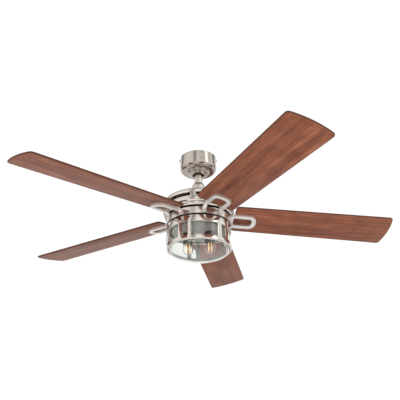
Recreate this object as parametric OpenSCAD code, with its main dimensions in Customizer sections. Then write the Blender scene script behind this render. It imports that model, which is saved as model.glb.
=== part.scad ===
// Ceiling fan with light: five blades on a spinning flywheel, a polished motor
// housing, and a glass shade in a twist-off metal cage. It hangs by a ball on a rod.
// Millimetres. The origin is the centre of the face that meets the ceiling, +Z up.
// Heights called "_z" are measured from the blade plane unless a comment says otherwise.

/* [Fan] */
// Blade sweep, tip to tip
sweep_d = 1321; // [1200:1:1400]
// Drop from the ceiling to the blade plane
blade_drop = 221; // [215:1:300]
// Blade pitch in degrees
blade_pitch = 12.3; // [8:0.1:14]
// Downward slope of the blades in degrees
blade_droop = 2.4; // [0:0.1:3.5]

/* [Blades] */
// Radius at which a blade starts
blade_root_r = 119; // [119:1:124]
// Blade width at the root
blade_root_w = 131; // [120:1:136]
// Blade width at the tip
blade_tip_w = 145; // [125:1:160]
// Blade thickness
blade_t = 5.5; // [4.5:0.1:6]
// Rise of the curved tip between its corners
tip_sagitta = 8.9; // [4:0.1:20]

/* [Canopy and rod] */
// Canopy radius
canopy_r = 63.5; // [63:0.5:70]
// Canopy height
canopy_h = 53; // [52:0.5:56]
// Downrod radius
rod_r = 13.3; // [12:0.1:13.4]

/* [Motor housing] */
// Radius of the top cover and of the housing's bulge
housing_r = 120; // [119:0.5:121]
// Radius of the flywheel band that carries the blades
band_r = 107; // [105:0.5:107.5]

/* [Light] */
// Outer radius of the shade cage
cage_r = 107.6; // [107:0.1:109]
// Outer radius of the glass shade
glass_r = 99.5; // [98.5:0.1:99.8]
// Distance of a bulb from the fan's axis
bulb_offset = 36; // [34:1:42]

/* [Hidden] */
blade_count = 5;
bulb_count = 2;
first_azimuth = 6.6;
blade_step = 360 / blade_count;
fine = 96;
small_fn = 32;
eps = 0.01;

// Sheet metal
sheet_t = 1.5;

// Hanger bracket, heights from the ceiling
plate_l = 112;
plate_w = 46;
plate_t = 2.5;
slot_spacing = 89;
slot_half_w = 2.6;
slot_len = 12;
ear_h = 18;
side_x = 28;
side_w = 40;
cradle_drop = 43.5;
ball_drop = 35;
ball_r = 19;
ball_gap = 0.3;
cup_r = 24.5;
cup_low = -11;
cup_high = -2;
entry_w = 28;
key_half_w = 1.6;
keyway_half_w = 3.2;
ear_screw_drop = 7;
ear_screw_r = 2;
ball_pin_r = 2.5;

// Canopy
canopy_wall = 1.2;
canopy_edge_r = 13;
canopy_hole_r = 22;
vent_drop = 15;
vent_count = 8;
vent_azimuth = -81;
ring_r = 39;
ring_hole_r = 20;

// Coupling between rod and motor
coupling_r = 17.8;
bell_r = 23.4;
bell_top_r = 14.6;
bell_top_z = 119.5;
bell_mid_z = 102;
coupling_low_z = 50;
coupling_high_z = 100;
rod_low_z = 66;
seat_r = 26;
clevis_z = 88;
shaft_r = 8.5;
shaft_bore_r = 6;
shaft_top_z = 65.5;
shaft_low_z = -54;

// Top cover: a spherical cap with a rounded shoulder
cap_sphere_r = 262;
cap_join_r = housing_r - 8;
cap_join_a = asin(cap_join_r / cap_sphere_r);
cap_edge_r = 8 / (1 - sin(cap_join_a));
cap_low_z = 32;
cap_shoulder_z = 37.4;
cap_join_z = cap_shoulder_z + cap_edge_r * cos(cap_join_a);
cap_centre_z = cap_join_z - cap_sphere_r * cos(cap_join_a);
cap_hole_r = 19;
seat_high_z = cap_centre_z + sqrt(pow(cap_sphere_r - sheet_t, 2) - seat_r * seat_r) - 0.1;

// Motor housing
bulge_z = 9;
bulge_top_z = 36;
bulge_inner_r = housing_r - 22;
lip_r = 8;
bowl_r = 115.5;
bowl_low_r = 109;
bowl_low_z = -9;
flange_r = 88;
tab_w = 18;
tab_azimuth = -99;

// Motor
stator_r = 66;
air_gap = 0.6;
rotor_core_r = 80;
rotor_wall_r = 84;
core_low_z = 1;
core_high_z = 23;
pole_count = 12;
stator_hub_r = 36;
tooth_half_w = 5.5;
bearing_r = 20;
bearing_t = 12;
upper_bearing_z = 30;
lower_bearing_z = -22;
running_gap = 0.05;

// Flywheel
band_high_z = -14;
band_low_z = -37;
band_t = 5;
web_t = 4;

// Blade brackets, in the frame of the blade
loop_y = 0;
loop_half_w = 33;
loop_slot_half_w = 19.5;
loop_end_r = 193.5;
loop_corner = 25;
slot_end_r = 178.5;
slot_corner = 14;
loop_depth = 12;
loop_root_r = 122;
foot_angle_cw = -15.75;
foot_angle_ccw = 13.85;
foot_in_r = 105;
foot_out_r = 112.5;
foot_w = 10.5;
bracket_screw_z = -27;
bracket_screw_r = 2;
blade_screw_r = 2.4;
leg_mid = (loop_half_w + loop_slot_half_w) / 2;
blade_screws_at = [[145, loop_y - leg_mid], [145, loop_y + leg_mid], [186, loop_y]];

// Light fitter and cage
cage_top_z = -42.4;
cage_lip_z = -62.1;
window_top_z = -63.6;
window_low_z = -110.4;
cage_low_z = -124.4;
cage_wall = 1.6;
pair_azimuth = -115.8;
bar_half_step = 8.65;
bar_half_a = 4;
fitter_r = 98;
fitter_top_z = -45;
fitter_low_z = -58;
lug_a = 30;
lug_count = 3;
fitter_lug_z = -57.5;
cage_lug_z = -55.5;
lug_t = 1.7;
pan_r = 91.5;
pan_low_z = -63.5;

// Glass shade
glass_t = 3;
glass_flange_r = glass_r + 4;
glass_corner_r = 18;
glass_corner_z = -120;
glass_sole_r = 120;
glass_sole_a = 24;

// Bulbs and sockets
bulb_azimuth = 172;
socket_r = 17.5;
socket_bore_r = 14;
socket_low_z = -100;
base_r = 13;
base_high_z = -67;
base_low_z = -93;
bulb_r = 19;
bulb_centre_z = -116.5;
bulb_neck_r = 12.4;
bulb_wall = 0.8;

nickel = "#cfc4bb";
walnut = "#8c553e";
steel = "#9aa0a4";
dark = "#2c2b2a";

// ---- Helpers ----

// Points along an arc in a profile, from angle a0 to a1
function arc(cx, cy, r, a0, a1, n) =
    [for (i = [0:n]) let (a = a0 + (a1 - a0) * i / n) [cx + r * cos(a), cy + r * sin(a)]];

// Points along a quarter-ellipse in a profile
function oval(cx, cy, rx, ry, a0, a1, n) =
    [for (i = [0:n]) let (a = a0 + (a1 - a0) * i / n) [cx + rx * cos(a), cy + ry * sin(a)]];

function azimuth(i) = first_azimuth + (i - 1) * blade_step;

module at_hub() translate([0, 0, -blade_drop]) children();

module revolve(points) rotate_extrude($fn = fine) polygon(points);

module tube(r, bore, low, high) {
    difference() {
        translate([0, 0, low]) cylinder(r = r, h = high - low, $fn = fine);
        translate([0, 0, low - 1]) cylinder(r = bore, h = high - low + 2, $fn = fine);
    }
}

// A cylinder along X that starts at x
module rod_x(x, r, length) translate([x, 0, 0]) rotate([0, 90, 0]) cylinder(r = r, h = length, $fn = small_fn);

// A cylinder along Y that starts at y
module rod_y(y, r, length) translate([0, y, 0]) rotate([-90, 0, 0]) cylinder(r = r, h = length, $fn = small_fn);

// The frame of blade i: X along the blade, Y across it, pitched and drooped
module blade_frame(i) {
    at_hub() rotate([0, 0, azimuth(i)]) rotate([0, blade_droop, 0]) rotate([-blade_pitch, 0, 0]) children();
}

// The frame of bulb i: the axis of its socket
module bulb_frame(i) {
    at_hub() rotate([0, 0, bulb_azimuth + (i - 1) * 360 / bulb_count]) translate([bulb_offset, 0, 0]) children();
}

// A wedge from angle a0 to a1, used to cut rings
module wedge(a0, a1, low, high) {
    reach = 2 * cage_r;
    translate([0, 0, low]) linear_extrude(height = high - low)
        polygon([[0, 0],
            [reach * cos(a0), reach * sin(a0)],
            [reach * cos((a0 + a1) / 2), reach * sin((a0 + a1) / 2)],
            [reach * cos(a1), reach * sin(a1)]]);
}

// ---- Ceiling mount ----

module ceiling_slot(side) {
    for (end = [-1, 1])
        translate([side * slot_spacing / 2 + end * (slot_len / 2 - slot_half_w), 0, -plate_t - 1])
            cylinder(r = slot_half_w, h = plate_t + 2, $fn = small_fn);
    translate([side * slot_spacing / 2 - slot_len / 2 + slot_half_w, -slot_half_w, -plate_t - 1])
        cube([slot_len - 2 * slot_half_w, 2 * slot_half_w, plate_t + 2]);
}

module hanger_bracket() color(steel) {
    cradle_t = ball_drop - cup_low - cradle_drop;
    difference() {
        union() {
            translate([-plate_l / 2, -plate_w / 2, -plate_t]) cube([plate_l, plate_w, plate_t]);
            for (side = [-1, 1]) {
                translate([side * (plate_l / 2 - plate_t / 2) - plate_t / 2, -plate_w / 4, -ear_h])
                    cube([plate_t, plate_w / 2, ear_h]);
                translate([side * side_x - plate_t / 2, -side_w / 2, -cradle_drop - cradle_t])
                    cube([plate_t, side_w, cradle_drop + cradle_t]);
            }
            translate([-side_x, -side_w / 2, -cradle_drop - cradle_t])
                cube([2 * side_x, side_w, cradle_t]);
            translate([0, 0, cup_low - ball_drop]) cylinder(r = cup_r, h = cup_high - cup_low, $fn = fine);
        }
        translate([0, 0, -ball_drop]) sphere(r = ball_r + ball_gap, $fn = fine);
        translate([-entry_w / 2, 0, -cradle_drop - cradle_t - 1]) cube([entry_w, cup_r + 10, cradle_t + 10]);
        for (side = [-1, 1]) ceiling_slot(side);
        translate([0, 0, -ear_screw_drop]) rod_x(-plate_l, ear_screw_r + running_gap, 2 * plate_l);
    }
    translate([-key_half_w, -cup_r + 1, -ball_drop - 6]) cube([2 * key_half_w, cup_r - 18.95, 4]);
}

module canopy() color(nickel) {
    inner_r = canopy_r - canopy_wall;
    edge_x = canopy_r - canopy_edge_r;
    edge_z = canopy_edge_r - canopy_h;
    difference() {
        revolve(concat(
            [[canopy_r, 0]],
            arc(edge_x, edge_z, canopy_edge_r, 0, -90, 8),
            [[canopy_hole_r, -canopy_h], [canopy_hole_r, canopy_wall - canopy_h]],
            arc(edge_x, edge_z, canopy_edge_r - canopy_wall, -90, 0, 8),
            [[inner_r, 0]]));
        translate([0, 0, -ear_screw_drop]) rod_x(-2 * canopy_r, ear_screw_r + 0.3, 4 * canopy_r);
        for (i = [0:vent_count - 1])
            rotate([0, 0, vent_azimuth + i * 360 / vent_count])
                translate([canopy_r - 6, -9, -vent_drop - 1]) cube([12, 18, 2]);
    }
}

// Stepped trim ring that closes the canopy round the rod
module canopy_ring() color(nickel) {
    translate([0, 0, -canopy_h]) revolve([
        [ring_r, 0], [ring_r, -2], [33.5, -3], [32, -7.5], [26.5, -9], [25, -12],
        [ring_hole_r + 1, -13], [ring_hole_r, -12.4], [ring_hole_r, -11],
        [23.8, -10.6], [25.4, -7.4], [30.8, -6], [32.2, -1.4], [34, 0]]);
}

module canopy_screws() color(steel) {
    for (side = [0, 180]) rotate([0, 0, side]) translate([0, 0, -ear_screw_drop]) {
        rod_x(plate_l / 2 - 6, ear_screw_r, canopy_r - plate_l / 2 + 6.1);
        rotate([0, 90, 0]) rotate_extrude($fn = small_fn) polygon([
            [0, canopy_r + 0.05], [4.2, canopy_r + 0.05], [4.2, canopy_r + 0.8],
            [3.2, canopy_r + 2.2], [1.6, canopy_r + 2.8], [0, canopy_r + 3]]);
    }
}

// Remote-control receiver that sits above the ball
module receiver() color(dark) {
    translate([-25, -21, -17.5]) cube([50, 42, 14]);
    translate([-14, 21, -14]) cube([28, 3, 7]);
}

// ---- Hanging rod ----

module hanger_ball() color(dark) translate([0, 0, -ball_drop]) {
    difference() {
        sphere(r = ball_r, $fn = fine);
        translate([-30, -30, 13]) cube([60, 60, 20]);
        translate([-30, -30, -34.5]) cube([60, 60, 20]);
        translate([0, 0, -30]) cylinder(r = rod_r + running_gap, h = 60, $fn = fine);
        translate([-keyway_half_w, -ball_r - 5, -30]) cube([2 * keyway_half_w, 7.5, 60]);
        rod_x(-30, ball_pin_r + running_gap, 60);
        translate([0, 0, 7]) rod_y(5, 2.05, 30);
    }
}

module ball_pin() color(steel) translate([0, 0, -ball_drop]) rod_x(-17.5, ball_pin_r, 35);

module ball_set_screw() color(steel) translate([0, 0, 7 - ball_drop]) {
    difference() {
        rod_y(rod_r + 0.05, 2, 4.6);
        rod_y(rod_r + 3, 1, 5);
    }
}

module downrod() color(nickel) {
    top = 15 - ball_drop;
    low = rod_low_z - blade_drop;
    difference() {
        tube(rod_r, rod_r - 2.3, low, top);
        translate([0, 0, -ball_drop]) rod_x(-30, ball_pin_r + running_gap, 60);
        translate([0, 0, clevis_z - blade_drop]) rod_x(-30, ball_pin_r + running_gap, 60);
    }
}

module motor_coupling() color(steel) at_hub() {
    difference() {
        union() {
            translate([0, 0, coupling_low_z])
                cylinder(r = coupling_r, h = coupling_high_z - coupling_low_z, $fn = fine);
            translate([0, 0, seat_high_z - 4]) cylinder(r = seat_r, h = 4, $fn = fine);
        }
        translate([0, 0, rod_low_z]) cylinder(r = rod_r + running_gap, h = 60, $fn = fine);
        translate([0, 0, coupling_low_z - 1]) cylinder(r = shaft_r + running_gap, h = 60, $fn = fine);
        translate([0, 0, clevis_z]) rod_x(-30, ball_pin_r + running_gap, 60);
        for (turn = [60, 120]) rotate([0, 0, turn]) translate([0, 0, coupling_low_z + 10]) rod_x(5, 2.55, 30);
    }
}

module clevis_pin() color(steel) at_hub() translate([0, 0, clevis_z]) {
    difference() {
        union() {
            rod_x(-coupling_r - 1, ball_pin_r, 2 * coupling_r + 3.35);
            rod_x(-coupling_r - 1.4, 3.8, 1.35);
        }
        translate([coupling_r + 1.2, 0, -5]) cylinder(r = 0.65, h = 10, $fn = small_fn);
    }
}

module cotter_pin() color(steel) at_hub() translate([coupling_r + 1.2, 0, clevis_z]) {
    translate([0, 0, -5]) cylinder(r = 0.6, h = 9, $fn = small_fn);
    translate([0, 0, 5.4]) rotate([0, 90, 0]) rotate_extrude($fn = small_fn) translate([1.6, 0])
        circle(r = 0.6, $fn = 16);
}

module coupling_screws() color(steel) at_hub() {
    for (turn = [60, 120]) rotate([0, 0, turn]) translate([0, 0, coupling_low_z + 10]) {
        rod_x(shaft_r + 0.05, 2.5, coupling_r - shaft_r + 0.2);
        rod_x(coupling_r + 0.2, 2.4, 0.8);
    }
}

// Bell that covers the coupling
module yoke_cover() color(nickel) at_hub() {
    bell_rx = bell_r - bell_top_r;
    bell_ry = bell_top_z - bell_mid_z;
    revolve(concat(
        [[rod_r + 0.4, bell_top_z], [rod_r + 0.4, bell_top_z - 1.2]],
        oval(bell_top_r, bell_mid_z, bell_rx - 1.2, bell_ry - 1.2, 90, 0, 8),
        [[bell_r - 1.2, 84]],
        arc(bell_r + 8, 84, 9.2, 180, 236, 4),
        [[26, cap_apex(26) + 0.05], [30, cap_apex(30) + 0.05]],
        arc(bell_r + 8, 84, 8, 240, 180, 4),
        oval(bell_top_r, bell_mid_z, bell_rx, bell_ry, 0, 90, 8)));
}

// Rubber ring that closes the bell round the rod
module cover_grommet() color(dark) at_hub() tube(bell_top_r + 1, rod_r + 0.05, bell_top_z + 0.05, bell_top_z + 2);

// Height of the top cover's outside at radius r
function cap_apex(r) = cap_centre_z + sqrt(pow(cap_sphere_r, 2) - r * r);

// ---- Motor ----

module top_cover() color(nickel) at_hub() {
    a = cap_join_a;
    a_hole = asin(cap_hole_r / cap_sphere_r);
    inner_r = cap_sphere_r - sheet_t;
    revolve(concat(
        arc(0, cap_centre_z, cap_sphere_r, 90 - a_hole, 90 - a, 14),
        arc(housing_r - cap_edge_r, cap_shoulder_z, cap_edge_r, 90 - a, 0, 7),
        [[housing_r, cap_low_z], [housing_r - sheet_t, cap_low_z]],
        arc(housing_r - cap_edge_r, cap_shoulder_z, cap_edge_r - sheet_t, 0, 90 - a, 7),
        arc(0, cap_centre_z, inner_r, 90 - a, 90 - a_hole, 14)));
}

// Bulging band and shallow bowl, with tabs that reach up inside the top cover
module motor_housing() color(nickel) at_hub() {
    t = sheet_t;
    rx = housing_r - bulge_inner_r;
    rz = bulge_top_z - bulge_z;
    revolve(concat(
        oval(bulge_inner_r, bulge_z, rx, rz, 90, 0, 12),
        arc(housing_r - lip_r, bulge_z, lip_r, 0, -58, 5),
        [[bowl_r - 2.2, 1.4], [bowl_r - 2.2, -0.2]],
        oval(bowl_low_r, -1, bowl_r - bowl_low_r, -1 - bowl_low_z, 0, -90, 7),
        [[flange_r, bowl_low_z], [flange_r, bowl_low_z + t]],
        oval(bowl_low_r, -1, bowl_r - bowl_low_r - t - 2, -1 - bowl_low_z - t, -90, 0, 5),
        [[bowl_r - 2.2 - t, 3.4]],
        [[housing_r - 3.5, 6]],
        oval(bulge_inner_r, bulge_z, rx - t, rz - t, 0, 90, 12)));
    for (k = [0:blade_count - 1]) rotate([0, 0, tab_azimuth + k * blade_step]) strap();
}

// One strap from the bulge up into the rim of the top cover
module strap() {
    out_r = housing_r - sheet_t - 0.1;
    intersection() {
        tube(out_r, out_r - 2.6, bulge_z + 2, cap_shoulder_z - 0.5);
        translate([out_r - 12, -tab_w / 2, bulge_z]) cube([20, tab_w, 40]);
    }
}

module motor_shaft() color(steel) at_hub() tube(shaft_r, shaft_bore_r, shaft_low_z, shaft_top_z);

module stator_core() color(steel) at_hub() {
    step = 360 / pole_count;
    tube(stator_hub_r, shaft_r + running_gap, core_low_z, core_high_z);
    for (k = [0:pole_count - 1]) rotate([0, 0, k * step])
        translate([stator_hub_r - 1, -tooth_half_w, core_low_z])
            cube([stator_r - 4 - stator_hub_r, 2 * tooth_half_w, core_high_z - core_low_z]);
    difference() {
        tube(stator_r, stator_r - 6, core_low_z, core_high_z);
        for (k = [0:pole_count - 1]) rotate([0, 0, (k + 0.5) * step])
            translate([stator_r - 8, -1.2, core_low_z - 1]) cube([12, 2.4, core_high_z - core_low_z + 2]);
    }
}

// A closed block of copper round each tooth
module stator_windings() color("#b06a3a") at_hub() {
    step = 360 / pole_count;
    hole_half_w = tooth_half_w + running_gap;
    for (k = [0:pole_count - 1]) rotate([0, 0, k * step]) difference() {
        translate([42, -tooth_half_w - 4, core_low_z - 4])
            cube([16, 2 * tooth_half_w + 8, core_high_z - core_low_z + 8]);
        translate([41, -hole_half_w, core_low_z - running_gap])
            cube([18, 2 * hole_half_w, core_high_z - core_low_z + 2 * running_gap]);
    }
}

module rotor_housing() color(steel) at_hub() {
    pocket_top = upper_bearing_z + bearing_t;
    difference() {
        union() {
            tube(rotor_wall_r, rotor_core_r + running_gap, band_high_z + 0.05, upper_bearing_z);
            tube(rotor_wall_r, bearing_r - 3, upper_bearing_z, upper_bearing_z + 3);
            tube(bearing_r + 3, bearing_r - 3, upper_bearing_z, pocket_top + 2);
        }
        translate([0, 0, upper_bearing_z - 1])
            cylinder(r = bearing_r + running_gap, h = bearing_t + 1.05, $fn = fine);
        for (k = [0:5]) rotate([0, 0, k * 60]) translate([52, 0, 20]) cylinder(r = 9, h = 30, $fn = fine);
    }
}

module rotor_core() color(steel) at_hub() tube(rotor_core_r, stator_r + air_gap, core_low_z, core_high_z);

module bearing(low_z) color(steel) at_hub() {
    race = 3;
    difference() {
        tube(bearing_r, shaft_r + running_gap, low_z, low_z + bearing_t);
        for (z = [low_z - 1, low_z + bearing_t - 0.5])
            tube(bearing_r - race, shaft_r + race, z, z + 1.5);
    }
}

module flywheel() color(nickel) at_hub() {
    difference() {
        union() {
            tube(band_r, band_r - band_t, band_low_z, band_high_z);
            tube(band_r, bearing_r - 3, band_high_z - web_t, band_high_z);
            tube(bearing_r + 3, bearing_r - 3, lower_bearing_z - 2, band_high_z + 4);
        }
        translate([0, 0, lower_bearing_z])
            cylinder(r = bearing_r + running_gap, h = 30, $fn = fine);
        for (i = [1:blade_count]) for (foot = [foot_angle_cw, foot_angle_ccw])
            rotate([0, 0, azimuth(i) + foot]) translate([0, 0, bracket_screw_z])
                rod_x(band_r - 2 * band_t, bracket_screw_r + running_gap, 3 * band_t);
    }
}

// ---- Blades and their brackets ----

// Flat outline that is open towards the hub and rounded at its outer corners
module loop_outline(half_w, corner, from_r, to_r) {
    translate([from_r, loop_y - half_w]) square([to_r - corner - from_r, 2 * half_w]);
    translate([from_r, loop_y - half_w + corner]) square([to_r - from_r, 2 * (half_w - corner)]);
    for (side = [-1, 1])
        translate([to_r - corner, loop_y + side * (half_w - corner)]) circle(r = corner, $fn = fine);
}

// A block in the flat part of a leg, from r0 to r1 along the blade
module leg_block(i, side, r0, r1) {
    leg_w = loop_half_w - loop_slot_half_w;
    inset = 0.4;
    blade_frame(i) translate([r0, loop_y + side * leg_mid - leg_w / 2 + inset, -blade_t / 2 - loop_depth + inset])
        cube([r1 - r0, leg_w - 2 * inset, loop_depth - 2 * inset]);
}

// A block of a foot, at an angle from the blade's own azimuth, shrunk by inset on every side
module foot_block(i, foot_a, r0, r1, low, high, width, inset) {
    at_hub() rotate([0, 0, azimuth(i) + foot_a]) translate([r0 + inset, inset - width / 2, low + inset])
        cube([r1 - r0 - 2 * inset, width - 2 * inset, high - low - 2 * inset]);
}

// Where the higher leg turns down, outside the housing
module knee_block(i, inset)
    foot_block(i, foot_angle_cw + 1.7, 116.7, 122, -13.5, -9.5, 14, inset);

// The vertical foot under a leg, from its root down to the band's lower edge
module foot(i, foot_a, root_low, root_high) hull() {
    foot_block(i, foot_a, foot_in_r, foot_out_r, root_low, root_high, foot_w + 2, 0.3);
    foot_block(i, foot_a, foot_in_r, foot_out_r - 0.5, band_low_z, band_low_z + 4, foot_w - 1, 0);
}

// The higher leg runs out past the housing before it drops to its foot
module high_leg(i) {
    hull() {
        leg_block(i, -1, 117, 126);
        knee_block(i, 0);
    }
    hull() {
        knee_block(i, 0.3);
        foot_block(i, foot_angle_cw, foot_in_r, foot_out_r, -23, -17, foot_w + 2, 0);
    }
    foot(i, foot_angle_cw, -23, -17);
}

// The lower leg runs straight in to its foot
module low_leg(i) {
    hull() {
        leg_block(i, 1, 114, 126);
        foot_block(i, foot_angle_ccw, foot_in_r, foot_out_r, -25, -18, foot_w + 2, 0);
    }
    foot(i, foot_angle_ccw, -25, -18);
}

module blade_bracket(i) color(nickel) {
    difference() {
        union() {
            blade_frame(i) translate([0, 0, -blade_t / 2 - loop_depth]) linear_extrude(height = loop_depth)
                difference() {
                    loop_outline(loop_half_w, loop_corner, loop_root_r, loop_end_r);
                    loop_outline(loop_slot_half_w, slot_corner, loop_root_r - 20, slot_end_r);
                }
            high_leg(i);
            low_leg(i);
        }
        at_hub() translate([0, 0, band_low_z - 5]) cylinder(r = band_r + running_gap, h = 60, $fn = fine);
        for (at = blade_screws_at)
            blade_frame(i) translate([at[0], at[1], -blade_t / 2 - 5.5])
                cylinder(r = blade_screw_r + running_gap, h = 10, $fn = small_fn);
        for (foot = [foot_angle_cw, foot_angle_ccw])
            at_hub() rotate([0, 0, azimuth(i) + foot]) translate([0, 0, bracket_screw_z])
                rod_x(band_r - 2, bracket_screw_r + running_gap, 5.6);
    }
}

// Outline of a blade: straight sides that widen, a curved tip and rounded corners
function blade_outline() =
    let (
        tip_r = sweep_d / 2,
        root_h = blade_root_w / 2,
        tip_h = blade_tip_w / 2,
        tip_arc = (tip_h * tip_h + tip_sagitta * tip_sagitta) / (2 * tip_sagitta),
        tip_x = tip_r - tip_arc,
        corner = 12,
        corner_y = tip_h - corner,
        corner_x = tip_x + sqrt(pow(tip_arc - corner, 2) - corner_y * corner_y),
        corner_a = atan2(corner_y, corner_x - tip_x),
        root_c = 12)
    concat(
        arc(blade_root_r + root_c, -root_h + root_c, root_c, 180, 270, 6),
        arc(corner_x, -corner_y, corner, 270, 360 - corner_a, 6),
        arc(tip_x, 0, tip_arc, -corner_a * 0.9, corner_a * 0.9, 12),
        arc(corner_x, corner_y, corner, corner_a, 90, 6),
        arc(blade_root_r + root_c, root_h - root_c, root_c, 90, 180, 6));

module blade(i) color(walnut) blade_frame(i) {
    difference() {
        translate([0, 0, -blade_t / 2]) linear_extrude(height = blade_t) polygon(blade_outline());
        for (at = blade_screws_at)
            translate([at[0], at[1], -blade_t]) cylinder(r = blade_screw_r + 0.2, h = 2 * blade_t, $fn = small_fn);
    }
}

module blade_screws() color(steel) {
    for (i = [1:blade_count]) for (at = blade_screws_at) blade_frame(i) translate([at[0], at[1], 0]) {
        translate([0, 0, -blade_t / 2 - 5]) cylinder(r = blade_screw_r, h = blade_t + 5.05, $fn = small_fn);
        rotate_extrude($fn = small_fn) polygon([
            [0, blade_t / 2 + 0.05], [5, blade_t / 2 + 0.05], [4.6, blade_t / 2 + 1.2],
            [3, blade_t / 2 + 2.2], [0, blade_t / 2 + 2.6]]);
    }
}

module bracket_screws() color(steel) at_hub() {
    for (i = [1:blade_count]) for (foot = [foot_angle_cw, foot_angle_ccw])
        rotate([0, 0, azimuth(i) + foot]) translate([0, 0, bracket_screw_z]) {
            rod_x(band_r - band_t - 0.4, bracket_screw_r, band_t + 3.8);
            rod_x(band_r - band_t - 3.4, 3.8, 3);
        }
}

// ---- Light ----

module light_fitter() color(nickel) at_hub() {
    revolve([
        [shaft_r + running_gap, fitter_top_z], [fitter_r, fitter_top_z], [fitter_r, fitter_low_z],
        [fitter_r - sheet_t, fitter_low_z], [fitter_r - sheet_t, fitter_top_z - sheet_t],
        [shaft_r + running_gap, fitter_top_z - sheet_t]]);
    for (k = [0:lug_count - 1]) rotate([0, 0, k * 360 / lug_count]) intersection() {
        tube(fitter_r + 4, fitter_r - 0.5, fitter_lug_z, fitter_lug_z + lug_t);
        wedge(-lug_a / 2, lug_a / 2, fitter_lug_z - 1, fitter_lug_z + lug_t + 1);
    }
}

module fitter_nut() color(steel) at_hub() translate([0, 0, fitter_top_z - sheet_t - 5.55]) {
    difference() {
        cylinder(r = 13, h = 5.5, $fn = 6);
        translate([0, 0, -1]) cylinder(r = shaft_r + running_gap, h = 8, $fn = fine);
    }
}

module capacitor() color(dark) at_hub() translate([25, -13, -60.5]) cube([44, 26, 13]);

// Shallow pan under the fitter that carries the sockets
module socket_pan() color(steel) at_hub() {
    difference() {
        revolve([
            [0, pan_low_z], [pan_r, pan_low_z], [pan_r, fitter_top_z - sheet_t - 0.05],
            [pan_r - sheet_t, fitter_top_z - sheet_t - 0.05], [pan_r - sheet_t, pan_low_z + sheet_t],
            [0, pan_low_z + sheet_t]]);
        rotate([0, 0, bulb_azimuth + 90]) for (side = [-1, 1])
            translate([side * 60, 0, pan_low_z - 1]) cylinder(r = 2.5, h = 4, $fn = small_fn);
    }
}

module bulb_socket(i) color(dark) bulb_frame(i) {
    difference() {
        revolve([
            [0, pan_low_z - 0.05], [socket_r, pan_low_z - 0.05], [socket_r, socket_low_z + 6],
            [socket_r + 1.2, socket_low_z + 5], [socket_r + 1.2, socket_low_z + 1],
            [socket_r, socket_low_z], [0, socket_low_z]]);
        translate([0, 0, socket_low_z - 1]) cylinder(r = socket_bore_r, h = -65.5 - socket_low_z + 1, $fn = fine);
    }
}

module bulb_base(i) color("#c9a860") bulb_frame(i) {
    crest = base_r;
    root = base_r - 0.8;
    pitch = 3.6;
    turns = 5;
    revolve(concat(
        [[0, base_high_z], [4.5, base_high_z], [5, base_high_z - 1.5], [crest - 2.5, base_high_z - 3.5]],
        [for (k = [0:2 * turns]) [k % 2 == 0 ? crest : root, base_high_z - 5 - k * pitch / 2]],
        [[bulb_neck_r - 0.3, base_low_z], [0, base_low_z]]));
}

module bulb_glass(i) color([0.95, 0.92, 0.85, 0.4]) bulb_frame(i) {
    inner_r = bulb_r - bulb_wall;
    inner_neck_r = bulb_neck_r - bulb_wall;
    top_z = base_low_z - 0.1;
    revolve(concat(
        [[bulb_neck_r, top_z]],
        arc(0, bulb_centre_z, bulb_r, acos(bulb_neck_r / bulb_r), -90, 20),
        arc(0, bulb_centre_z, inner_r, -90, acos(inner_neck_r / inner_r), 20),
        [[inner_neck_r, top_z]]));
}

module bulb_filament(i) color("#f0a830") bulb_frame(i) {
    top = -103;
    low = -131;
    for (k = [0:3]) rotate([0, 0, 45 + 90 * k]) {
        translate([6.5, 0, low]) cylinder(r = 1.1, h = top - low, $fn = small_fn);
        translate([3, -0.4, top - 0.4]) cube([3.5, 0.8, 0.8]);
    }
    translate([0, 0, top - 1.5]) cylinder(r1 = 3.2, r2 = 4.6, h = base_low_z - 0.1 - top + 1.5, $fn = small_fn);
    for (turn = [0, 90]) rotate([0, 0, 45 + turn]) translate([-6.5, -0.4, low - 0.4]) cube([13, 0.8, 0.8]);
}

// One-piece cage: an upper band, paired bars and a rounded lower band
module shade_cage() color(nickel) at_hub() {
    in_r = cage_r - cage_wall;
    edge = 5;
    difference() {
        revolve(concat(
            [[cage_r - 5, cage_top_z], [cage_r - 0.6, cage_top_z], [cage_r, cage_top_z - 0.6]],
            arc(cage_r - edge, cage_low_z + edge, edge, 0, -90, 6),
            [[glass_r + 1, cage_low_z], [glass_r + 1, cage_low_z + cage_wall]],
            arc(cage_r - edge, cage_low_z + edge, edge - cage_wall, -90, 0, 6),
            [[in_r, window_top_z], [glass_r + 1.1, window_top_z], [glass_r + 1.1, cage_lip_z],
             [in_r, cage_lip_z], [in_r, cage_top_z - cage_wall], [cage_r - 5, cage_top_z - cage_wall]]));
        for (k = [0:blade_count - 1]) rotate([0, 0, pair_azimuth + k * blade_step]) {
            gap = bar_half_step - bar_half_a;
            far = bar_half_step + bar_half_a;
            wedge(-gap, gap, window_low_z, window_top_z);
            wedge(far, blade_step - far, window_low_z, window_top_z);
        }
    }
    for (k = [0:lug_count - 1]) rotate([0, 0, k * 360 / lug_count]) intersection() {
        tube(in_r + 0.5, fitter_r + 1.2, cage_lug_z, cage_lug_z + lug_t);
        wedge(-lug_a / 2, lug_a / 2, cage_lug_z - 1, cage_lug_z + lug_t + 1);
    }
}

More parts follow.
